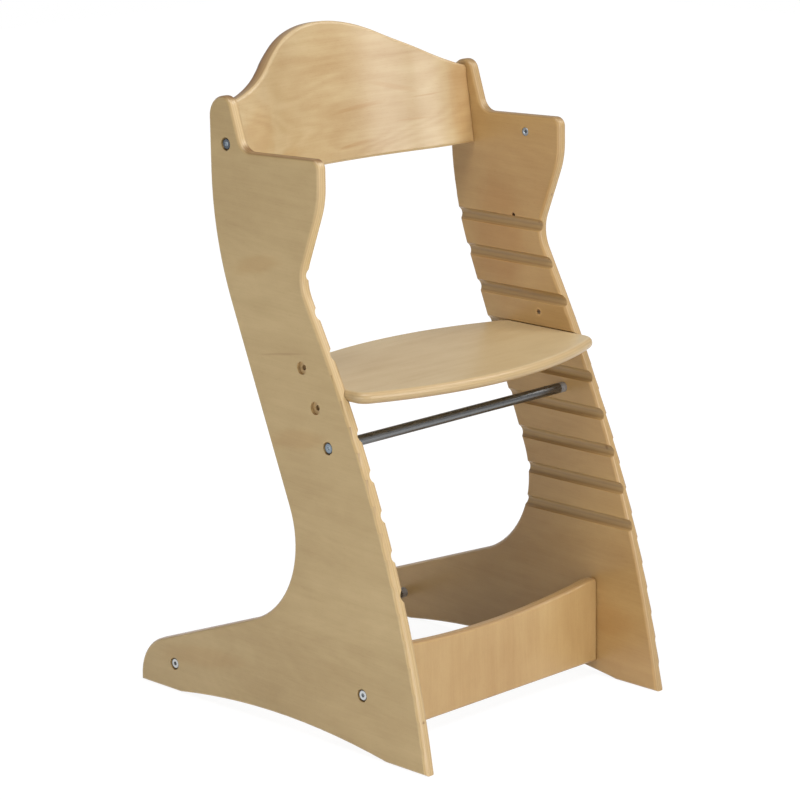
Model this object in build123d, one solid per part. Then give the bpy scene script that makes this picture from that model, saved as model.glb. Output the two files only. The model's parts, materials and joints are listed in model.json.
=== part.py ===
from build123d import *
import os
from math import atan, cos, pi, radians, sin, sqrt, tan

# Child's high chair with a plate seat that slides into grooves of two plywood side panels.
# Frame: X across the chair, -Y to the front, +Z up. The origin is on the floor, under the middle.
# All sizes in millimetres. "setback" is a distance behind the toe, "height" one above the floor,
# "drop" one below the chair's top and "inset" one inwards from an edge or end.

# ---- overall ----
overall_width = 450.0
overall_height = 886.0
foot_length = 550.0

# ---- plywood boards ----
panel_thickness = 15.0
seat_thickness = 15.0
backrest_thickness = 18.0
stretcher_thickness = 15.0
panel_edge_radius = 4.5
board_edge_radius = 4.0
board_corner_radius = 6.0

# ---- side panel outline, seen from the side ----
toe_flat_length = 75.0
heel_flat_length = 80.0
foot_arch_rise = 16.3
heel_upright_length = 6.5
heel_corner_height = 52.0
ankle_setback = 195.7
ankle_height = 181.9
ankle_radius = 126.5
back_bend_drop = 249.4
back_bend_radius = 450.0
post_rear_setback = 375.6
post_top_drop = 66.5
post_top_front_setback = 336.5
post_rear_top_radius = 27.0
post_front_top_radius = 15.5
post_root_setback = 315.0
post_root_radius = 21.0
armrest_rear_drop = 133.9
armrest_front_drop = 129.3
armrest_corner_radius = 12.3
neck_setback = 174.2
neck_bend_drop = 184.0
neck_bend_radius = 109.0
waist_setback = 214.5
waist_drop = 286.6
waist_radius = 53.5
shin_top_setback = 172.7
shin_top_drop = 365.5

# ---- grooves that carry the seat plate ----
groove_count = 9
groove_pitch = 48.2
lowest_groove_height = 221.9
groove_depth = 6.6
groove_clearance = 0.7
groove_lip_radius = 1.5
groove_lip_edge_angle = 20.0
seat_groove_index = 5

# ---- seat plate ----
seat_front_setback = 64.0
seat_depth = 259.0
seat_front_arc_radius = 470.0
seat_rear_arc_radius = 507.0
seat_front_corner_radius = 22.0
seat_rear_corner_radius = 15.0
seat_end_clearance = 0.7
seat_running_gap = 0.3
seat_edge_flat = 0.4

# ---- backrest: a moulded board, hollow towards the child, with flat ends ----
backrest_bolt_setback = 344.0
backrest_bolt_drop = 127.0
backrest_lean = 8.2
backrest_bow = 55.1
backrest_flat_length = 9.0
backrest_reverse_length = 78.4
backrest_crown_radius = 176.5
backrest_slope_angle = 30.0
backrest_shoulder_length = 65.0
backrest_shoulder_rise = 52.4
backrest_below_bolts = 52.0

# ---- front stretcher ----
stretcher_setback = 114.0
stretcher_bolt_height = 80.0
stretcher_bottom_height = 20.0
stretcher_shoulder_height = 137.3
stretcher_waist_height = 123.3
stretcher_shoulder_length = 20.0

# ---- cross rods ----
rod_diameter = 14.0
rod_wall = 1.5
rod_plug_flange_length = 8.0
rod_plug_spigot_length = 14.0
rod_plug_clearance = 0.1
rod_plug_collar_relief = 0.4
rod_plug_collar_width = 1.2
seat_rod_height = 393.1
rod_hole_count = 3
rod_hole_inset = 55.6
rear_rod_inset = 71.0
rear_rod_height = 38.0

# ---- bolts, barrel nuts and their holes ----
bolt_diameter = 6.0
bolt_hole_diameter = 7.0
bolt_head_diameter = 14.5
bolt_head_height = 3.2
bolt_head_edge_radius = 1.2
bolt_socket_across_flats = 5.0
bolt_socket_depth = 2.4
bolt_head_seat_depth = 4.6
counterbore_diameter = 17.0
rod_bolt_length = 28.0
board_bolt_length = 45.0
thread_clearance = 0.1
barrel_nut_diameter = 10.0
barrel_nut_length = 10.0
barrel_nut_inset = 26.0
barrel_nut_clearance = 0.15

# ---- wooden dowels beside each board bolt ----
dowel_diameter = 8.0
dowel_length = 30.0
dowel_in_panel = 9.0
dowel_clearance = 0.1
dowel_end_clearance = 0.5
backrest_dowel_offset = 30.0
stretcher_dowel_offset = 38.0

# ---- threaded inserts for a front bar, and the strap screw's pilot hole ----
insert_setback = 235.0
insert_drop = 154.0
insert_diameter = 11.5
insert_length = 11.0
insert_clearance = 0.1
insert_core_diameter = 5.0
insert_mouth_bevel = 0.6
pilot_hole_setback = 257.5
pilot_hole_drop = 269.0
pilot_hole_diameter = 5.0
pilot_hole_depth = 9.0

# ---- values worked out from the sizes above ----
half_width = overall_width / 2
inner_face = half_width - panel_thickness
counterbore_floor = half_width - bolt_head_seat_depth
groove_radius = seat_thickness / 2 + groove_clearance
groove_floor = inner_face + groove_depth
seat_half_width = groove_floor - seat_end_clearance
seat_edge_radius = (seat_thickness - seat_edge_flat) / 2
seat_groove_height = lowest_groove_height + seat_groove_index * groove_pitch
insert_height = overall_height - insert_drop
pilot_hole_height = overall_height - pilot_hole_drop
backrest_bolt_height = overall_height - backrest_bolt_drop
backrest_flat_start = inner_face - backrest_flat_length
backrest_inflection = backrest_flat_start - backrest_reverse_length
backrest_shoulder_start = inner_face - backrest_shoulder_length
rear_rod_setback = foot_length - rear_rod_inset
heel_slope = atan((ankle_height - heel_corner_height) / (foot_length - ankle_setback))
heel_corner_radius = (heel_corner_height - heel_upright_length) / tan(pi / 4 - heel_slope / 2)
toe = -foot_length / 2
tube_bore = rod_diameter - 2 * rod_wall
overrun = 1.0  # how far a cutting body runs past the face it opens
tiny = 1e-3  # lengths below this count as none

os.makedirs("parts", exist_ok=True)


def at(setback, height):
    """Point of the side view, as Y and Z."""
    return (toe + setback, height)


def side_extrude(face, x_from, x_to):
    """Extrude a face drawn in the side view (its X is the chair's Y) from x_from to x_to."""
    return extrude(Plane.YZ.offset(x_from) * face, amount=x_to - x_from)


def rod_along_x(x_from, x_to, setback, height, diameter):
    """Round bar or hole along X."""
    disc = Pos(*at(setback, height)) * Circle(diameter / 2)
    return side_extrude(disc, x_from, x_to)


def mirrored(shape):
    """The left-hand twin of a right-hand piece."""
    return mirror(shape, about=Plane.YZ)


# ---------------------------------------------------------------- side panels
def below_top(setback, drop):
    """Point of the side view, measured down from the chair's top."""
    return at(setback, overall_height - drop)


def panel_outline():
    """Outline of a side panel: tangent arcs and lines round foot, back, post, armrest and shin."""
    toe_vertex = Vector(*at(0, 0))
    shin_top = Vector(*below_top(shin_top_setback, shin_top_drop))
    waist = Vector(*below_top(waist_setback, waist_drop))
    rising = FilletPolyline(
        shin_top,
        waist,
        below_top(neck_setback, neck_bend_drop),
        below_top(neck_setback, armrest_front_drop),
        below_top(post_root_setback, armrest_rear_drop),
        below_top(post_top_front_setback, post_top_drop),
        below_top(post_rear_setback, post_top_drop),
        below_top(post_rear_setback, back_bend_drop),
        at(ankle_setback, ankle_height),
        at(foot_length, heel_corner_height),
        at(foot_length, 0),
        radius=[
            waist_radius,
            neck_bend_radius,
            armrest_corner_radius,
            post_root_radius,
            post_front_top_radius,
            post_rear_top_radius,
            back_bend_radius,
            ankle_radius,
            heel_corner_radius,
        ],
    )
    heel_flat_end = at(foot_length - heel_flat_length, 0)
    arch_middle = (foot_length + toe_flat_length - heel_flat_length) / 2
    heel_flat = Line(rising @ 1, heel_flat_end)
    arch = ThreePointArc(heel_flat_end, at(arch_middle, foot_arch_rise), at(toe_flat_length, 0))
    toe_flat = Line(at(toe_flat_length, 0), toe_vertex)
    shin = TangentArc(shin_top, toe_vertex, tangent=shin_top - waist)
    return make_face(Wire([*rising.edges(), heel_flat, arch, toe_flat, shin]))


def front_edge_setback(height):
    """How far behind the toe a side panel's front edge lies at this height."""
    level = Line(at(-foot_length, height), at(foot_length, height))
    return (panel_outline() & level).bounding_box().min.X - toe


def rod_hole_places():
    """Setback and height of the seat rod's bolt hole and of the spare ones above it."""
    heights = [seat_rod_height + step * groove_pitch for step in range(rod_hole_count)]
    return [(front_edge_setback(height) + rod_hole_inset, height) for height in heights]


def groove_cutter(height):
    """Round-bottomed groove in the right panel's inner face, with eased lips, open at both ends."""
    axis_x = groove_floor - groove_radius
    lip_x = inner_face + groove_lip_radius * cos(radians(groove_lip_edge_angle))
    reach = groove_radius + groove_lip_radius
    lip_z = sqrt(reach**2 - (lip_x - axis_x) ** 2)
    share = groove_radius / reach
    cove_x = axis_x + share * (lip_x - axis_x)
    cove_z = share * lip_z
    crest_x = lip_x - groove_lip_radius
    outside_x = crest_x - groove_radius
    cove = ThreePointArc((cove_x, -cove_z), (groove_floor, 0), (cove_x, cove_z))
    upper_lip = TangentArc((cove_x, cove_z), (crest_x, lip_z), tangent=cove % 1)
    lower_lip = TangentArc((cove_x, -cove_z), (crest_x, -lip_z), tangent=-(cove % 0))
    mouth = Polyline((crest_x, lip_z), (outside_x, lip_z), (outside_x, -lip_z), (crest_x, -lip_z))
    profile = Pos(0, height) * make_face(Wire([cove, upper_lip, *mouth.edges(), lower_lip]))
    return extrude(Plane.XZ * profile, amount=foot_length, both=True)


def bolt_hole(setback, height):
    """Through hole with a counterbore in the outer face of the right panel."""
    outside = half_width + overrun
    through = rod_along_x(inner_face - overrun, outside, setback, height, bolt_hole_diameter)
    recess = rod_along_x(counterbore_floor, outside, setback, height, counterbore_diameter)
    return through + recess


def dowel_places():
    """Setback and height of each dowel in a side panel."""
    lean = radians(backrest_lean)
    places = {}
    for name, sign in (("upper", 1), ("lower", -1)):
        reach = sign * backrest_dowel_offset
        places["backrest_dowel_" + name] = (
            backrest_bolt_setback + reach * sin(lean),
            backrest_bolt_height + reach * cos(lean),
        )
        places["stretcher_dowel_" + name] = (
            stretcher_setback,
            stretcher_bolt_height + sign * stretcher_dowel_offset,
        )
    return places


def right_panel():
    panel = side_extrude(panel_outline(), inner_face, half_width)
    rims = [e for e in panel.edges() if abs(e.bounding_box().size.X) < tiny]
    panel = fillet(rims, panel_edge_radius)
    for index in range(groove_count):
        panel -= groove_cutter(lowest_groove_height + index * groove_pitch)
    for setback, height in (
        (backrest_bolt_setback, backrest_bolt_height),
        (rear_rod_setback, rear_rod_height),
        (stretcher_setback, stretcher_bolt_height),
    ):
        panel -= bolt_hole(setback, height)
    for place in rod_hole_places():
        panel -= bolt_hole(*place)
    dowel_floor = inner_face + dowel_in_panel + dowel_end_clearance
    for setback, height in dowel_places().values():
        hole = dowel_diameter + 2 * dowel_clearance
        panel -= rod_along_x(inner_face - overrun, dowel_floor, setback, height, hole)
    insert_hole = insert_diameter + 2 * insert_clearance
    insert_floor = inner_face + insert_length + insert_clearance
    panel -= rod_along_x(inner_face - overrun, insert_floor, insert_setback, insert_height, insert_hole)
    pilot_floor = inner_face + pilot_hole_depth
    panel -= rod_along_x(
        inner_face - overrun, pilot_floor, pilot_hole_setback, pilot_hole_height, pilot_hole_diameter
    )
    return panel


# ---------------------------------------------------------------- seat plate
def seat_height():
    """Height of the seat plate's middle plane: it lies just clear of the groove's lower flank."""
    axis_x = groove_floor - groove_radius
    edge_x = seat_half_width - seat_edge_radius
    reach = groove_radius - seat_edge_radius - seat_running_gap
    sink = sqrt(reach**2 - (edge_x - axis_x) ** 2) - seat_edge_flat / 2
    return seat_groove_height - sink


def arc_drop(radius, half_chord):
    return radius - sqrt(radius**2 - half_chord**2)


def seat_plate():
    front = toe + seat_front_setback
    rear = front + seat_depth
    front_corner = front + arc_drop(seat_front_arc_radius, seat_half_width)
    rear_corner = rear - arc_drop(seat_rear_arc_radius, seat_half_width)
    x = seat_half_width
    outline = Wire([
        ThreePointArc((-x, front_corner), (0, front), (x, front_corner)),
        Line((x, front_corner), (x, rear_corner)),
        ThreePointArc((x, rear_corner), (0, rear), (-x, rear_corner)),
        Line((-x, rear_corner), (-x, front_corner)),
    ])
    face = make_face(outline)
    corners = face.vertices().sort_by(Axis.Y)
    face = fillet(corners[:2], seat_front_corner_radius)
    corners = face.vertices().filter_by(lambda v: abs(v.Y - rear_corner) < tiny)
    face = fillet(corners, seat_rear_corner_radius)
    plate = extrude(Plane.XY.offset(seat_height() - seat_thickness / 2) * face, amount=seat_thickness)
    rims = [e for e in plate.edges() if abs(e.bounding_box().size.Z) < tiny]
    return fillet(rims, seat_edge_radius)


# ---------------------------------------------------------------- backrest
def bent_edges():
    """Half of the backrest's front face in plan, from its middle to its end."""
    turn = 2 * atan(backrest_bow / backrest_flat_start)
    reverse_radius = backrest_reverse_length / sin(turn)
    inflection = (backrest_inflection, reverse_radius * (1 - cos(turn)))
    return [
        TangentArc((0, backrest_bow), inflection, tangent=(1, 0)),
        TangentArc(inflection, (backrest_flat_start, 0), tangent=(cos(turn), -sin(turn))),
        Line((backrest_flat_start, 0), (inner_face, 0)),
    ]


def backrest_outline():
    """Front view of half the backrest, with heights along the board measured from its bolts."""
    lean = radians(backrest_lean)
    slope = radians(backrest_slope_angle)
    crest_behind = backrest_bow - backrest_thickness / 2 + board_edge_radius
    crest_rise = backrest_bolt_drop - board_edge_radius
    crown_rise = (crest_rise + crest_behind * sin(lean)) / cos(lean) + board_edge_radius
    crown_end = Vector(
        backrest_crown_radius * sin(slope),
        crown_rise - backrest_crown_radius * (1 - cos(slope)),
    )
    run = backrest_shoulder_start - crown_end.X
    shoulder_start = crown_end + Vector(run, -run * tan(slope))
    crown = TangentArc((0, crown_rise), crown_end, tangent=(1, 0))
    side = Line(crown_end, shoulder_start)
    end_top = (inner_face, backrest_shoulder_rise)
    shoulder = TangentArc(shoulder_start, end_top, tangent=side % 1)
    rest = Polyline(
        end_top,
        (inner_face, -backrest_below_bolts),
        (0, -backrest_below_bolts),
        (0, crown_rise),
    )
    half = make_face(Wire([crown, side, shoulder, *rest.edges()]))
    corner = half.vertices().sort_by_distance(end_top)[0]
    return fillet(corner, board_corner_radius)


def backrest_place():
    """Frame of the backrest: the middle of its thickness at the bolts, leaning back."""
    return Pos(0, *at(backrest_bolt_setback, backrest_bolt_height)) * Rot(-backrest_lean, 0, 0)


def backrest():
    """Bent board whose edges are square to its faces all the way round the bends."""
    trim = extrude(Plane.XZ * backrest_outline(), amount=overall_width, both=True)
    half = None
    for edge in bent_edges():
        strip = Face.extrude(edge.edge(), (0, 0, 2 * overall_height))
        strip = (Pos(0, 0, -overall_height) * strip & trim).face()
        strip = Solid.thicken(strip, backrest_thickness, normal_override=(0, 1, 0))
        half = strip if half is None else half + strip
    board = half + mirror(half, about=Plane.YZ)
    rims = [e for e in board.edges() if e.bounding_box().size.X > tiny]
    board = fillet(rims, board_edge_radius)
    board = backrest_place() * Pos(0, -backrest_thickness / 2) * board
    return drill_board(board, backrest_bolt_setback, backrest_bolt_height, "backrest", backrest_lean)


def drill_board(board, setback, height, name, lean):
    """Bolt, barrel nut and dowel holes in both ends of a board."""
    bolt_floor = counterbore_floor - board_bolt_length - dowel_end_clearance
    cuts = rod_along_x(bolt_floor, inner_face + overrun, setback, height, bolt_hole_diameter)
    dowel_floor = inner_face + dowel_in_panel - dowel_length - dowel_end_clearance
    for place_name, place in dowel_places().items():
        if place_name.startswith(name):
            hole = dowel_diameter + 2 * dowel_clearance
            cuts += rod_along_x(dowel_floor, inner_face + overrun, *place, hole)
    cuts += barrel_nut_hole(setback, height, lean)
    return board - cuts - mirrored(cuts)


def barrel_nut_frame(setback, height, lean):
    """Frame at a barrel nut's middle, with Z through the board from front to rear."""
    x = inner_face - barrel_nut_inset
    return Pos(x, *at(setback, height)) * Rot(-lean, 0, 0) * Rot(-90, 0, 0)


def barrel_nut_hole(setback, height, lean):
    """Blind hole from the rear face of a board."""
    diameter = barrel_nut_diameter + 2 * barrel_nut_clearance
    floor = -barrel_nut_length / 2 - barrel_nut_clearance
    hole = Pos(0, 0, floor) * Cylinder(
        diameter / 2, 3 * backrest_thickness, align=(Align.CENTER, Align.CENTER, Align.MIN)
    )
    return barrel_nut_frame(setback, height, lean) * hole


# ---------------------------------------------------------------- front stretcher
def front_stretcher():
    x = inner_face - stretcher_shoulder_length
    shoulder = stretcher_shoulder_height
    outline = Wire([
        ThreePointArc((-x, shoulder), (0, stretcher_waist_height), (x, shoulder)),
        *Polyline(
            (x, shoulder),
            (inner_face, shoulder),
            (inner_face, stretcher_bottom_height),
            (-inner_face, stretcher_bottom_height),
            (-inner_face, shoulder),
            (-x, shoulder),
        ).edges(),
    ])
    face = make_face(outline)
    corners = face.vertices().filter_by(lambda v: abs(v.Y - shoulder) < tiny)
    corners = corners.filter_by(lambda v: abs(v.X) > inner_face - tiny)
    face = fillet(corners, board_corner_radius)
    front = Plane.XZ.offset(-(toe + stretcher_setback + stretcher_thickness / 2))
    board = extrude(front * face, amount=stretcher_thickness)
    rims = [e for e in board.edges() if e.bounding_box().size.X > tiny]
    rims = [e for e in rims if abs(e.bounding_box().size.Y) < tiny]
    board = fillet(rims, board_edge_radius)
    return drill_board(board, stretcher_setback, stretcher_bolt_height, "stretcher", 0)


# ---------------------------------------------------------------- rods
def rod_tube(setback, height):
    half = inner_face - rod_plug_flange_length
    tube = rod_along_x(-half, half, setback, height, rod_diameter)
    return tube - rod_along_x(-half - overrun, half + overrun, setback, height, tube_bore)


def rod_plug(setback, height):
    """Right-hand plug: a flange as wide as the tube, a relief ring, and a spigot inside the tube."""
    shoulder = inner_face - rod_plug_flange_length
    tip = shoulder - rod_plug_spigot_length
    relief_end = shoulder + rod_plug_collar_width
    relief = rod_diameter - 2 * rod_plug_collar_relief
    plug = rod_along_x(relief_end, inner_face, setback, height, rod_diameter)
    plug += rod_along_x(shoulder, relief_end, setback, height, relief)
    plug += rod_along_x(tip, shoulder, setback, height, tube_bore - 2 * rod_plug_clearance)
    bore = bolt_diameter + 2 * thread_clearance
    return plug - rod_along_x(tip - overrun, inner_face + overrun, setback, height, bore)


# ---------------------------------------------------------------- bolts, nuts, dowels, inserts
def bolt(setback, height, length):
    """Right-hand flat-headed bolt with a hexagon socket, seated on the counterbore's floor."""
    head_face = counterbore_floor + bolt_head_height
    head = rod_along_x(counterbore_floor, head_face, setback, height, bolt_head_diameter)
    rim = head.edges().sort_by(Axis.X)[-1]
    head = fillet(rim, bolt_head_edge_radius)
    socket = Pos(*at(setback, height)) * RegularPolygon(
        bolt_socket_across_flats / 2, 6, major_radius=False
    )
    head -= side_extrude(socket, head_face - bolt_socket_depth, head_face + overrun)
    shank = rod_along_x(counterbore_floor - length, counterbore_floor, setback, height, bolt_diameter)
    return head + shank


def barrel_nut(setback, height, lean):
    nut = barrel_nut_frame(setback, height, lean) * Cylinder(barrel_nut_diameter / 2, barrel_nut_length)
    x = inner_face - barrel_nut_inset
    bore = bolt_diameter + 2 * thread_clearance
    return nut - rod_along_x(x - barrel_nut_diameter, x + barrel_nut_diameter, setback, height, bore)


def dowel(setback, height):
    tip = inner_face + dowel_in_panel
    return rod_along_x(tip - dowel_length, tip, setback, height, dowel_diameter)


def threaded_insert():
    end = inner_face + insert_length
    place = (insert_setback, insert_height)
    body = rod_along_x(inner_face, end, *place, insert_diameter)
    body -= rod_along_x(inner_face - overrun, end + overrun, *place, insert_core_diameter)
    mouth = body.edges().group_by(Axis.X)[0].filter_by(GeomType.CIRCLE)
    return chamfer(mouth, insert_mouth_bevel)


# ---------------------------------------------------------------- write one STEP per piece
def write(name, shape):
    shape.label = name
    export_step(shape, "parts/" + name + ".step")


def write_pair(name, shape):
    write(name + "_right", shape)
    write(name + "_left", mirrored(shape))


panel = right_panel()
write("right_side_panel", panel)
write("left_side_panel", mirrored(panel))
write("seat_plate", seat_plate())
write("backrest", backrest())
write("front_stretcher", front_stretcher())
for rod, place in (
    ("seat_rod", rod_hole_places()[0]),
    ("rear_rod", (rear_rod_setback, rear_rod_height)),
):
    write(rod + "_tube", rod_tube(*place))
    write_pair(rod + "_plug", rod_plug(*place))
    write_pair(rod + "_bolt", bolt(*place, rod_bolt_length))
for board, place, lean in (
    ("backrest", (backrest_bolt_setback, backrest_bolt_height), backrest_lean),
    ("stretcher", (stretcher_setback, stretcher_bolt_height), 0),
):
    write_pair(board + "_bolt", bolt(*place, board_bolt_length))
    write_pair(board + "_barrel_nut", barrel_nut(*place, lean))
for name, place in dowel_places().items():
    write_pair(name, dowel(*place))
write_pair("bar_insert", threaded_insert())
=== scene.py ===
import json
import math

import bpy
from mathutils import Matrix, Vector


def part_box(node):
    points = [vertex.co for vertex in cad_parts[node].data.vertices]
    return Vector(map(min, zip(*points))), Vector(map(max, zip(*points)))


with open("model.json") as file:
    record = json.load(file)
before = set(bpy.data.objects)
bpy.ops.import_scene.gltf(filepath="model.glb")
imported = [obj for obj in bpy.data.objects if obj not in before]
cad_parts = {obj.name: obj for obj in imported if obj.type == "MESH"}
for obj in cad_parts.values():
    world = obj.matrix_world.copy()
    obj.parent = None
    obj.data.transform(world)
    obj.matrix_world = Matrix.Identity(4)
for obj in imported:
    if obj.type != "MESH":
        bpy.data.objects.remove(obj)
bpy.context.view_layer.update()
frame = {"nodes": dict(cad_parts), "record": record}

scene = bpy.context.scene
nodes = frame["nodes"]
record_slots = {part["node"]: part["material_slot"] for part in frame["record"]["subparts"]}


# ---------------------------------------------------------------- camera
CAMERA_AZIMUTH = -44.37
CAMERA_ELEVATION = 14.03
CAMERA_ROLL = -0.92
CAMERA_PLACE = (-2.8259, -2.8968, 1.4071)
CAMERA_LENS = 142.0


def add_camera():
    azimuth = math.radians(CAMERA_AZIMUTH)
    elevation = math.radians(CAMERA_ELEVATION)
    back = Vector((
        math.sin(azimuth) * math.cos(elevation),
        -math.cos(azimuth) * math.cos(elevation),
        math.sin(elevation),
    ))
    right = Vector((math.cos(azimuth), math.sin(azimuth), 0))
    up = back.cross(right)
    roll = Matrix.Rotation(math.radians(CAMERA_ROLL), 3, "Z")
    turn = Matrix((right, up, back)).transposed() @ roll
    data = bpy.data.cameras.new("camera")
    data.lens = CAMERA_LENS
    data.sensor_width = 36
    data.clip_end = 50
    camera = bpy.data.objects.new("camera", data)
    camera.matrix_world = Matrix.Translation(CAMERA_PLACE) @ turn.to_4x4()
    scene.collection.objects.link(camera)
    scene.camera = camera


# ---------------------------------------------------------------- shader helpers
class Graph:
    """A material's node tree, with short calls for the nodes this scene uses."""

    def __init__(self, name):
        self.material = bpy.data.materials.new(name)
        self.material.use_nodes = True
        self.tree = self.material.node_tree
        self.tree.nodes.clear()
        self.output = self.tree.nodes.new("ShaderNodeOutputMaterial")

    def add(self, kind, values=None, **settings):
        node = self.tree.nodes.new("ShaderNode" + kind)
        for key, value in settings.items():
            setattr(node, key, value)
        for key, value in (values or {}).items():
            self.put(node.inputs[key], value)
        return node

    def put(self, socket, value):
        if isinstance(value, bpy.types.NodeSocket):
            self.tree.links.new(value, socket)
        else:
            socket.default_value = value

    def math(self, operation, a, b=0.0, c=0.0):
        node = self.add("Math", {0: a, 1: b, 2: c}, operation=operation)
        return node.outputs[0]

    def rest(self, value):
        return self.math("SUBTRACT", 1.0, value)

    def span(self, value, low, high, to_low=0.0, to_high=1.0, smooth=True):
        node = self.add(
            "MapRange",
            {
                "Value": value, "From Min": low, "From Max": high,
                "To Min": to_low, "To Max": to_high,
            },
            interpolation_type="SMOOTHSTEP" if smooth else "LINEAR",
        )
        return node.outputs[0]

    def noise(self, place, scale, detail=3.0, rough=0.5, warp=0.0):
        node = self.add(
            "TexNoise",
            {
                "Vector": place, "Scale": scale, "Detail": detail,
                "Roughness": rough, "Distortion": warp,
            },
        )
        return node.outputs[0]

    def mix(self, share, a, b, blend="MIX"):
        node = self.add("Mix", data_type="RGBA", blend_type=blend)
        node.clamp_factor = True
        for index, value in ((0, share), (6, a), (7, b)):
            self.put(node.inputs[index], value)
        return node.outputs[2]

    def finish(self, shader):
        self.tree.links.new(shader, self.output.inputs[0])
        return self.material


def rgb(red, green, blue):
    """A colour as it shows on screen, 0 to 255, in the renderer's linear light."""
    linear = []
    for value in (red, green, blue):
        share = value / 255
        linear.append(share / 12.92 if share <= 0.04045 else ((share + 0.055) / 1.055) ** 2.4)
    return (*linear, 1)


def shade(colour, factor):
    return tuple(min(1, channel * factor) for channel in colour[:3]) + (1,)


# ---------------------------------------------------------------- plywood
PLY_COUNT = 9
CUT_TINT = (0.62, 0.50, 0.36, 1)
UPWARD = (0, 0.25, 0.97)
# Painted shade for edges and cove flanks that face upwards, and painted bounce light for those that face
# downwards.
TOP_EDGE_PAINTED_SHADE = (0.42, 0.30, 0.17, 1)
UNDERSIDE_PAINTED_BOUNCE_LIGHT = (1.16, 1.18, 1.16, 1)


def veneer(g, along, across, through, figure, fleck, seed):
    """Rotary-cut veneer as one value: 0 where the wood is darkest, 1 where it is palest."""
    def place(stretch_along, stretch_across):
        node = g.add("CombineXYZ", {
            0: g.math("MULTIPLY_ADD", along, stretch_along, seed),
            1: g.math("MULTIPLY", across, stretch_across),
            2: through,
        })
        return node.outputs[0]

    cloud = g.noise(place(3.0, 7.0), 1.0, detail=2.0)
    blotch = g.noise(place(16.0, 30.0), 1.0, detail=3.0, rough=0.6)
    streak = g.noise(place(2.4, 46.0), 1.0, detail=4.0, rough=0.6)
    fibre = g.noise(place(14.0, 420.0), 1.0, detail=3.0, rough=0.65)
    bend = g.noise(place(2.0, 9.0), 1.0, detail=2.0, rough=0.4, warp=0.5)
    ring = g.math("SINE", g.math("MULTIPLY", bend, 110.0))
    dash = g.span(g.noise(place(150.0, 1150.0), 1.0, detail=1.0), 0.60, 0.72)
    tone = g.math("MULTIPLY_ADD", g.math("SUBTRACT", cloud, 0.5), 1.0, 0.60)
    tone = g.math("MULTIPLY_ADD", g.math("SUBTRACT", blotch, 0.5), 0.55, tone)
    tone = g.math("MULTIPLY_ADD", g.math("SUBTRACT", streak, 0.5), 0.60, tone)
    tone = g.math("MULTIPLY_ADD", g.math("SUBTRACT", fibre, 0.5), 0.30, tone)
    tone = g.math("MULTIPLY_ADD", ring, -figure, tone)
    tone = g.math("MULTIPLY_ADD", dash, -fleck, tone)
    return tone


def spot(g, place, centre, reach, turn=(0, 0, 0), ragged=0.5):
    """1 inside a soft-edged ellipsoid, 0 outside it."""
    local = g.add("Mapping", {
        "Vector": place, "Location": centre,
        "Rotation": tuple(map(math.radians, turn)), "Scale": reach,
    }, vector_type="TEXTURE").outputs[0]
    far = g.add("VectorMath", {0: local}, operation="LENGTH").outputs["Value"]
    far = g.math("MULTIPLY_ADD", g.noise(local, 2.5, detail=3.0), ragged, far)
    return g.span(far, 0.35 + ragged / 2, 1.0 + ragged / 2, 1.0, 0.0)


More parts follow.
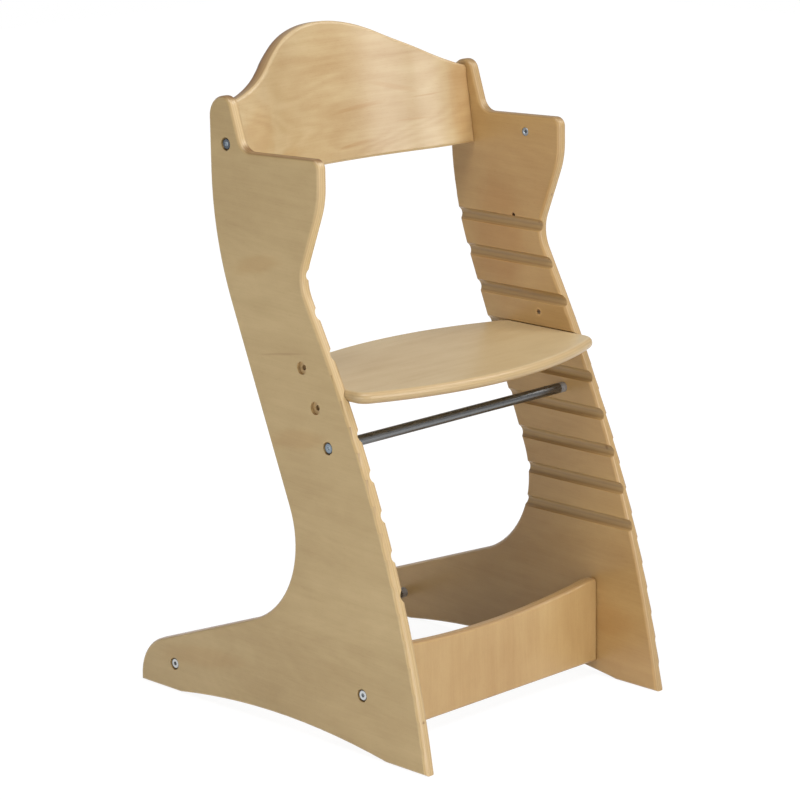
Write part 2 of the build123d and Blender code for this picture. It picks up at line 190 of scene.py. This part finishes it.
def plywood(name, frame_of, light, dark, core, rims, figure, seed, plies,
            fleck=0.16, gloss=0.42, painted_top_shade=None, marks=()):
    """Lacquered plywood as a solid texture: plies that cross each other, cut open by every rounded edge.

    The rims are the colours just below the two faces, in the order in which depth counts; on the side
    panels and the backrest they also carry painted shade and a painted highlight. Edges and cove flanks
    that face upwards get painted shade, and those that face downwards a little painted bounce light: the
    top-shade argument holds the share of that painted shade at depth 0 and at depth 1.
    """
    g = Graph(name)
    along, across, depth, place = frame_of(g)
    index = g.math("FLOOR", g.math("MULTIPLY", depth, PLY_COUNT))
    skin = g.math("MULTIPLY", g.math("MINIMUM", depth, g.rest(depth)), PLY_COUNT)
    inside = g.math("FRACT", skin)
    crossed = g.math("MODULO", g.math("FLOOR", skin), 2.0)
    face = veneer(g, along, across, depth, figure, fleck, seed)
    inner_plies = veneer(g, across, along, index, 0.03, 0.05, seed + 7.0)
    face_colour = g.mix(g.math("MAXIMUM", g.math("MINIMUM", face, 1.0), 0.0), dark, light)
    rim_colour = g.mix(g.math("GREATER_THAN", depth, 0.5), rims[0], rims[1])
    core_colour = g.mix(g.span(skin, 0.3, 2.6), rim_colour, core)
    ply_tone = g.math("MULTIPLY_ADD", crossed, 0.6, g.math("MULTIPLY", inner_plies, 0.4))
    ply_share = g.math("MULTIPLY", g.rest(ply_tone), plies)
    core_colour = g.mix(ply_share, core_colour, CUT_TINT, "MULTIPLY")
    glue = g.math("MINIMUM", inside, g.rest(inside))
    glue_share = g.span(glue, 0.02, 0.16, 0.35 * plies, 0.0)
    core_colour = g.mix(glue_share, core_colour, shade(dark, 0.5))
    colour = g.mix(g.span(skin, 0.04, 1.1), face_colour, core_colour)
    if painted_top_shade:
        normal = g.add("TexCoord").outputs["Normal"]
        facing = g.add("VectorMath", {0: normal, 1: UPWARD}, operation="DOT_PRODUCT").outputs["Value"]
        # Painted shade on upward-facing edges and cove flanks, its share set by depth.
        top_shade_by_depth = g.span(depth, 0.0, 1.0, *painted_top_shade, smooth=False)
        painted_top_shade_mask = g.math("MULTIPLY", g.span(facing, 0.25, 0.80), top_shade_by_depth)
        colour = g.mix(painted_top_shade_mask, colour, TOP_EDGE_PAINTED_SHADE, "MULTIPLY")
        # Painted bounce light on surfaces that face downwards.
        colour = g.mix(g.span(facing, -0.15, -0.75), colour, UNDERSIDE_PAINTED_BOUNCE_LIGHT, "MULTIPLY")
    for centre, reach, turn, share, tint in marks:
        inside_mark = g.math("MULTIPLY", spot(g, place, centre, reach, turn), share)
        colour = g.mix(inside_mark, colour, tint, "MULTIPLY")
    bump = g.add("Bump", {"Height": face, "Distance": 0.00005, "Strength": 0.4})
    shader = g.add("BsdfPrincipled", {
        "Base Color": colour,
        "Roughness": g.math("MULTIPLY_ADD", face, -0.06, gloss + 0.04),
        "Normal": bump.outputs[0],
        "IOR": 1.5,
        "Coat Weight": 0.22,
        "Coat Roughness": 0.24,
    })
    return g.finish(shader.outputs[0])


def object_place(g):
    return g.add("TexCoord").outputs["Object"]


def axes_of(g, place):
    split = g.add("SeparateXYZ", {0: place})
    return split.outputs


def tilted(g, place, angle):
    """Turns a place about the chair's X axis, so that grain can run a little off level."""
    node = g.add("Mapping", {"Vector": place, "Rotation": (math.radians(angle), 0, 0)})
    return node.outputs[0]


def panel_frame(inner, angle):
    """Side panel: grain runs front to rear, and depth is counted from the inner face outwards."""
    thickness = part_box("right_side_panel")[1][0] - inner

    def build(g):
        place = object_place(g)
        x, y, z = axes_of(g, tilted(g, place, angle))
        depth = g.math("DIVIDE", g.math("SUBTRACT", g.math("ABSOLUTE", x), inner), thickness)
        return y, z, depth, place
    return build


def seat_frame(g):
    """Seat plate: grain runs across the chair."""
    low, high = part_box("seat_plate")
    place = object_place(g)
    x, y, z = axes_of(g, place)
    depth = g.math("DIVIDE", g.math("SUBTRACT", z, low[2]), high[2] - low[2])
    return x, y, depth, place


def stretcher_frame(g):
    """Front stretcher: grain stands upright."""
    low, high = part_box("front_stretcher")
    place = object_place(g)
    x, y, z = axes_of(g, place)
    depth = g.math("DIVIDE", g.math("SUBTRACT", y, low[1]), high[1] - low[1])
    return z, x, depth, place


BACKREST_BOW = 0.0551
BACKREST_FLAT_START = 0.201
BACKREST_INFLECTION = 0.1226
BACKREST_THICKNESS = 0.018
BACKREST_LEAN = 8.2
BACKREST_BOLTS = (0, 0.069, 0.759)


def backrest_frame(g):
    """Backrest: grain follows the bend, and depth is counted from the hollow front face."""
    turn = 2 * math.atan(BACKREST_BOW / BACKREST_FLAT_START)
    middle_radius = BACKREST_INFLECTION / math.sin(turn)
    end_radius = (BACKREST_FLAT_START - BACKREST_INFLECTION) / math.sin(turn)
    place = object_place(g)
    level = g.add("VectorMath", {0: place, 1: BACKREST_BOLTS}, operation="SUBTRACT").outputs[0]
    x, y, z = axes_of(g, tilted(g, level, BACKREST_LEAN))
    out = g.math("ABSOLUTE", x)
    near = g.math("MINIMUM", out, BACKREST_INFLECTION)
    drop = g.math("SQRT", g.math("SUBTRACT", middle_radius**2, g.math("MULTIPLY", near, near)))
    middle = g.math("ADD", drop, BACKREST_BOW - middle_radius)
    left = g.math("MAXIMUM", g.math("SUBTRACT", BACKREST_FLAT_START, out), 0.0)
    left = g.math("MINIMUM", left, BACKREST_FLAT_START - BACKREST_INFLECTION)
    rise = g.math("SQRT", g.math("SUBTRACT", end_radius**2, g.math("MULTIPLY", left, left)))
    end = g.math("SUBTRACT", end_radius, rise)
    is_middle = g.math("LESS_THAN", out, BACKREST_INFLECTION)
    is_end = g.rest(is_middle)
    bend = g.math("ADD", g.math("MULTIPLY", is_middle, middle), g.math("MULTIPLY", is_end, end))
    cosine = g.math(
        "ADD",
        g.math("MULTIPLY", is_middle, g.math("DIVIDE", drop, middle_radius)),
        g.math("MULTIPLY", is_end, g.math("DIVIDE", rise, end_radius)),
    )
    depth = g.math("SUBTRACT", g.math("ADD", y, BACKREST_THICKNESS / 2), bend)
    depth = g.math("DIVIDE", g.math("MULTIPLY", depth, cosine), BACKREST_THICKNESS)
    return x, z, depth, place


# ---------------------------------------------------------------- details seen in the photo
# Multiplying tints: the warm one gives wood tone in streaks and painted shade at the backrest's ends, the
# knot one darkens knots and paints shade into two holes, and the pale bluish one is a painted highlight.
WARM_TONE_AND_PAINTED_SHADE = (0.84, 0.68, 0.48, 1)
BROWN = (0.55, 0.40, 0.26, 1)
KNOT_AND_PAINTED_HOLE_SHADE = (0.36, 0.22, 0.12, 1)
PAINTED_HOLE_RIM_HIGHLIGHT = (1.45, 1.55, 1.75, 1)


# Filled knots, streaks and a broad warmer patch, painted shade in two holes and at the backrest's ends,
# and a painted highlight round the spare hole: centre, reach, turn in degrees, share and tint.
SPARE_HOLE = (-0.0627, 0.4895)
PILOT_HOLE = (-0.0175, 0.617)
LEFT_PANEL_MARKS = (
    ((-0.2175, -0.2612, 0.0668), (0.004, 0.004, 0.003), (0, 0, 0), 0.8, KNOT_AND_PAINTED_HOLE_SHADE),
    ((-0.225, 0.0195, 0.610), (0.004, 0.060, 0.016), (-14, 0, 0), 0.35, WARM_TONE_AND_PAINTED_SHADE),
    ((-0.225, -0.027, 0.502), (0.004, 0.055, 0.0022), (-9, 0, 0), 0.30, BROWN),
    ((-0.225, -0.051, 0.3945), (0.004, 0.070, 0.018), (-9, 0, 0), 0.35, WARM_TONE_AND_PAINTED_SHADE),
    ((-0.225, 0.055, 0.160), (0.004, 0.055, 0.014), (-12, 0, 0), 0.35, WARM_TONE_AND_PAINTED_SHADE),
    ((-0.225, 0.150, 0.060), (0.004, 0.120, 0.020), (-8, 0, 0), 0.30, WARM_TONE_AND_PAINTED_SHADE),
)
RIGHT_PANEL_MARKS = (
    ((0.2175, -0.0860, 0.6899), (0.003, 0.004, 0.004), (0, 0, 0), 0.85, KNOT_AND_PAINTED_HOLE_SHADE),
    ((0.2175, -0.0789, 0.6518), (0.003, 0.004, 0.004), (0, 0, 0), 0.70, KNOT_AND_PAINTED_HOLE_SHADE),
    ((0.2175, -0.0592, 0.6124), (0.003, 0.004, 0.004), (0, 0, 0), 0.70, KNOT_AND_PAINTED_HOLE_SHADE),
    ((0.2150, -0.1722, 0.3533), (0.004, 0.004, 0.005), (0, 0, 0), 0.95, KNOT_AND_PAINTED_HOLE_SHADE),
    ((0.2150, -0.1802, 0.3202), (0.003, 0.004, 0.004), (0, 0, 0), 0.70, KNOT_AND_PAINTED_HOLE_SHADE),
    ((0.210, -0.100, 0.640), (0.004, 0.050, 0.030), (-8, 0, 0), 0.30, WARM_TONE_AND_PAINTED_SHADE),
    ((0.210, -0.190, 0.080), (0.004, 0.060, 0.030), (-10, 0, 0), 0.30, WARM_TONE_AND_PAINTED_SHADE),
    # A broad warmer, darker patch on the inner face, towards the rear above the seat.
    ((0.210, 0.010, 0.580), (0.004, 0.070, 0.110), (0, 0, 0), 0.60, WARM_TONE_AND_PAINTED_SHADE),
    # Painted highlight round the spare hole's rim, then painted shade inside it and in the pilot hole.
    ((0.210, *SPARE_HOLE), (0.003, 0.0075, 0.0075), (0, 0, 0), 0.9, PAINTED_HOLE_RIM_HIGHLIGHT),
    ((0.210, *SPARE_HOLE), (0.006, 0.0050, 0.0050), (0, 0, 0), 1.0, KNOT_AND_PAINTED_HOLE_SHADE),
    ((0.210, *PILOT_HOLE), (0.006, 0.0042, 0.0042), (0, 0, 0), 1.0, KNOT_AND_PAINTED_HOLE_SHADE),
)
BACKREST_MARKS = (
    ((0.045, 0.108, 0.769), (0.052, 0.03, 0.0042), (0, -7, 0), 0.50, WARM_TONE_AND_PAINTED_SHADE),
    ((0.036, 0.105, 0.721), (0.036, 0.03, 0.0034), (0, -9, 0), 0.50, WARM_TONE_AND_PAINTED_SHADE),
    ((0.098, 0.095, 0.793), (0.045, 0.04, 0.0050), (0, 14, 0), 0.35, WARM_TONE_AND_PAINTED_SHADE),
    ((0.120, 0.080, 0.748), (0.030, 0.04, 0.0020), (0, -4, 0), 0.45, WARM_TONE_AND_PAINTED_SHADE),
    ((0.142, 0.075, 0.779), (0.028, 0.04, 0.0014), (0, -6, 0), 0.50, WARM_TONE_AND_PAINTED_SHADE),
    # Painted shade towards the left end of the bend.
    ((-0.168, 0.070, 0.765), (0.045, 0.05, 0.050), (0, 0, 0), 0.45, WARM_TONE_AND_PAINTED_SHADE),
    ((-0.110, 0.090, 0.720), (0.060, 0.05, 0.018), (0, -6, 0), 0.40, WARM_TONE_AND_PAINTED_SHADE),
    # Painted shade across the right end, where the bend turns away from the light.
    ((0.200, 0.062, 0.770), (0.036, 0.05, 0.120), (0, 0, 0), 0.75, WARM_TONE_AND_PAINTED_SHADE),
)


# ---------------------------------------------------------------- metal and turned wood
# Radii of the painted eye and of the painted shade at a fastener's rim.
PAINTED_EYE_RADII = (0.0022, 0.0032)
PAINTED_RIM_RADII = (0.0052, 0.0068)
ROD_END_START = 0.2
ROD_END_BLEND = 0.001


def axis_of(name):
    """Where a fastener's axis along X crosses the Y-Z plane."""
    low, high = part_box(name)
    return tuple((a + b) / 2 for a, b in zip(low, high))[1:]


def metal(name, colour, rough, along=(1, 1, 1), axis_at=None, painted_eye=None, ring=None, ends_from=None):
    """Plated steel. A fastener may get a painted highlight in its eye, painted shade on some kinds, and
    painted shade at its rim; a rod gets its own colour at its ends.
    """
    g = Graph(name)
    here = object_place(g)
    place = g.add("Mapping", {"Vector": here, "Scale": along}).outputs[0]
    wear = g.noise(place, 900.0, detail=4.0, rough=0.6)
    smear = g.noise(place, 45.0, detail=2.0)
    tint = g.mix(g.span(wear, 0.35, 0.75), shade(colour, 0.82), colour)
    tint = g.mix(g.span(smear, 0.35, 0.7, 0.0, 0.5), tint, shade(colour, 1.18))
    metallic = 1.0
    if axis_at:
        out = g.add("VectorMath", {0: here, 1: (0, *axis_at)}, operation="SUBTRACT").outputs[0]
        out = g.add("VectorMath", {0: out, 1: (0, 1, 1)}, operation="MULTIPLY").outputs[0]
        out = g.add("VectorMath", {0: out}, operation="LENGTH").outputs["Value"]
        # The eye gets a painted highlight on some fasteners and painted shade on others, and the head's
        # rim gets painted shade.
        in_painted_eye = g.span(out, *PAINTED_EYE_RADII, 1.0, 0.0)
        tint = g.mix(in_painted_eye, tint, painted_eye)
        tint = g.mix(g.span(out, *PAINTED_RIM_RADII), tint, ring)
        metallic = g.rest(g.math("MULTIPLY", in_painted_eye, 0.7))
    if ends_from:
        out = g.math("ABSOLUTE", axes_of(g, here)[0])
        at_end = g.span(out, ends_from - ROD_END_BLEND, ends_from + ROD_END_BLEND)
        tint = g.mix(at_end, tint, rgb(150, 150, 152))
        metallic = g.rest(g.math("MULTIPLY", at_end, 0.65))
    bump = g.add("Bump", {"Height": wear, "Distance": 0.00004, "Strength": 0.25})
    shader = g.add("BsdfPrincipled", {
        "Base Color": tint,
        "Metallic": metallic,
        "Roughness": g.span(wear, 0.3, 0.75, rough - 0.05, rough + 0.07),
        "Normal": bump.outputs[0],
    })
    return g.finish(shader.outputs[0])


def bolt(name):
    """A socket bolt's steel, with the head, eye and rim colours of its kind: the heads are partly the
    zinc's own colour and partly painted reflection and shade, the eye is a painted highlight on some kinds
    and painted shade on others, and the rim is painted shade.
    """
    head_light_and_shade, painted_eye, ring = {
        "backrest_bolt": (rgb(96, 102, 110), rgb(214, 224, 232), rgb(64, 64, 66)),
        "seat_rod_bolt": (rgb(134, 146, 156), rgb(206, 216, 222), rgb(72, 70, 66)),
        "rear_rod_bolt": (rgb(196, 198, 198), rgb(120, 122, 122), rgb(110, 108, 104)),
        "stretcher_bolt": (rgb(206, 210, 212), rgb(150, 156, 160), rgb(104, 100, 94)),
    }[name.rsplit("_", 1)[0]]
    return metal("bolt_zinc_" + name, head_light_and_shade, 0.30, axis_at=axis_of(name), painted_eye=painted_eye, ring=ring)


def turned_beech(name):
    g = Graph(name)
    place = object_place(g)
    x, y, z = axes_of(g, place)
    face = veneer(g, x, y, z, 0.04, 0.2, 3.0)
    colour = g.mix(face, rgb(166, 124, 80), rgb(206, 172, 128))
    bump = g.add("Bump", {"Height": face, "Distance": 0.0001, "Strength": 0.6})
    shader = g.add("BsdfPrincipled", {
        "Base Color": colour, "Roughness": 0.62, "Normal": bump.outputs[0],
    })
    return g.finish(shader.outputs[0])


inner_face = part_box("right_side_panel")[0][0]
materials = {
    # The right panel is a shaded copy of the left: its warmer, darker colours are partly another veneer
    # and partly painted shade with warm bounce light. On both panels the rim on the +X side is darker,
    # partly the plies' colour and partly painted shade, and upward-facing edges get painted shade.
    "left_side_panel": plywood(
        "panel_plywood_left", panel_frame(inner_face, -2), rgb(199, 173, 124), rgb(166, 138, 90),
        rgb(197, 170, 124), (rgb(172, 138, 92), rgb(186, 158, 112)), figure=0.025, seed=1.3, plies=0.45,
        painted_top_shade=(1.25, 0.65), marks=LEFT_PANEL_MARKS),
    "right_side_panel": plywood(
        "panel_plywood_right", panel_frame(inner_face, -2), rgb(197, 162, 107), rgb(166, 127, 74),
        rgb(181, 151, 104), (rgb(178, 144, 94), rgb(160, 122, 74)), figure=0.025, seed=4.7, plies=0.5,
        painted_top_shade=(0.05, 0.90), marks=RIGHT_PANEL_MARKS),
    "seat_plywood": plywood(
        "seat_plywood", seat_frame, rgb(204, 182, 141), rgb(178, 150, 106),
        rgb(186, 160, 116), (rgb(160, 124, 78), rgb(188, 158, 112)), figure=0.02, seed=9.1, plies=0.25),
    # On the backrest the front rim is a painted highlight and the back rim painted shade, and
    # upward-facing edges get painted shade that grows towards the back.
    "backrest_plywood": plywood(
        "backrest_plywood", backrest_frame, rgb(200, 178, 137), rgb(162, 127, 79),
        rgb(186, 152, 102), (rgb(210, 186, 144), rgb(124, 90, 48)), figure=0.06, fleck=0.14, seed=2.2,
        gloss=0.38, plies=0.3, painted_top_shade=(-0.15, 1.15), marks=BACKREST_MARKS),
    "stretcher_plywood": plywood(
        "stretcher_plywood", stretcher_frame, rgb(193, 161, 110), rgb(164, 126, 75),
        rgb(184, 150, 102), (rgb(166, 130, 82), rgb(150, 112, 66)), figure=0.02, seed=6.4, plies=0.4),
    "dowel_beech": turned_beech("dowel_beech"),
    "rod_steel": metal("rod_steel", rgb(123, 124, 125), 0.29, along=(0.06, 1, 1), ends_from=ROD_END_START),
    "nut_zinc": metal("nut_zinc", rgb(190, 192, 196), 0.34),
    # The insert's eye is a painted highlight in its bore, and its rim painted shade.
    "insert_zinc": metal(
        "insert_zinc", rgb(150, 160, 172), 0.34, axis_at=axis_of("bar_insert_right"),
        painted_eye=rgb(214, 222, 230), ring=rgb(140, 146, 152)),
}
for name, thing in nodes.items():
    slot = record_slots[name]
    chosen = materials.get(name) or materials.get(slot) or bolt(name)
    for place in thing.material_slots:
        place.material = chosen
    if not thing.material_slots:
        thing.data.materials.append(chosen)


# ---------------------------------------------------------------- floor, background and light
FLOOR_HALF_WIDTH = 6.0
FLOOR_DROP = 0.0004
FLOOR_PAINT = (0.8, 0.8, 0.8, 1)
FLOOR_GLOW = 1.12


def add_floor():
    """Pale floor that shows white to the camera all round and keeps the chair's soft shadow."""
    half = FLOOR_HALF_WIDTH
    mesh = bpy.data.meshes.new("floor")
    corners = [(-half, -half, 0), (half, -half, 0), (half, half, 0), (-half, half, 0)]
    mesh.from_pydata([(x, y, z - FLOOR_DROP) for x, y, z in corners], [], [(0, 1, 2, 3)])
    floor = bpy.data.objects.new("floor", mesh)
    scene.collection.objects.link(floor)
    g = Graph("floor_white")
    path = g.add("LightPath")
    seen = g.math("MAXIMUM", path.outputs["Is Camera Ray"], path.outputs["Is Glossy Ray"])
    seen = g.math("MAXIMUM", seen, path.outputs["Is Transmission Ray"])
    far = g.add("VectorMath", {0: object_place(g)}, operation="LENGTH").outputs["Value"]
    paint = g.add("BsdfDiffuse", {"Color": FLOOR_PAINT})
    glow = g.add("Emission", {"Color": (1, 1, 1, 1), "Strength": FLOOR_GLOW})
    both = g.add("MixShader", {
        0: g.math("MULTIPLY", seen, g.span(far, 0.4, 1.3, 0.82, 0.92)),
        1: paint.outputs[0],
        2: glow.outputs[0],
    })
    mesh.materials.append(g.finish(both.outputs[0]))


def add_world(diffuse, glossy):
    """White behind the chair; the room gives the wood a soft sheen and almost no other light."""
    world = bpy.data.worlds.new("studio")
    world.use_nodes = True
    tree = world.node_tree
    tree.nodes.clear()
    output = tree.nodes.new("ShaderNodeOutputWorld")
    path = tree.nodes.new("ShaderNodeLightPath")

    def room(strength):
        node = tree.nodes.new("ShaderNodeBackground")
        node.inputs[0].default_value = (1, 1, 1, 1)
        node.inputs[1].default_value = strength
        return node.outputs[0]

    seen = room(diffuse)
    rays = (("Is Glossy Ray", glossy), ("Is Transmission Ray", 1.0), ("Is Camera Ray", 1.0))
    for ray, strength in rays:
        both = tree.nodes.new("ShaderNodeMixShader")
        tree.links.new(path.outputs[ray], both.inputs[0])
        tree.links.new(seen, both.inputs[1])
        tree.links.new(room(strength), both.inputs[2])
        seen = both.outputs[0]
    tree.links.new(seen, output.inputs[0])
    scene.world = world


def add_softbox(name, azimuth, elevation, distance, size, power, aim=(0, 0, 0.45)):
    """Square area lamp aimed at the chair. Azimuth 0 is in front, positive to the right."""
    turn, rise = math.radians(azimuth), math.radians(elevation)
    way = Vector((
        math.sin(turn) * math.cos(rise),
        -math.cos(turn) * math.cos(rise),
        math.sin(rise),
    ))
    data = bpy.data.lights.new(name, "AREA")
    data.shape = "SQUARE"
    data.size = size
    data.energy = power
    lamp = bpy.data.objects.new(name, data)
    lamp.location = Vector(aim) + way * distance
    lamp.rotation_euler = way.to_track_quat("Z", "Y").to_euler()
    scene.collection.objects.link(lamp)


add_camera()
add_floor()
add_world(0.04, 0.5)
add_softbox("key", -52, 66, 3.0, 1.6, 48)
add_softbox("front_right", 45, 45, 3.0, 1.6, 38)
add_softbox("front_low", 0, 12, 3.0, 1.6, 46)
add_softbox("left_low", -68, 5, 2.2, 1.3, 14, aim=(0, 0, 0.1))
add_softbox("left_side", -98, 6, 2.4, 1.3, 6, aim=(0, 0, 0.05))
add_softbox("rear", 176, 12, 3.0, 1.6, 18)
scene.view_settings.view_transform = "Standard"
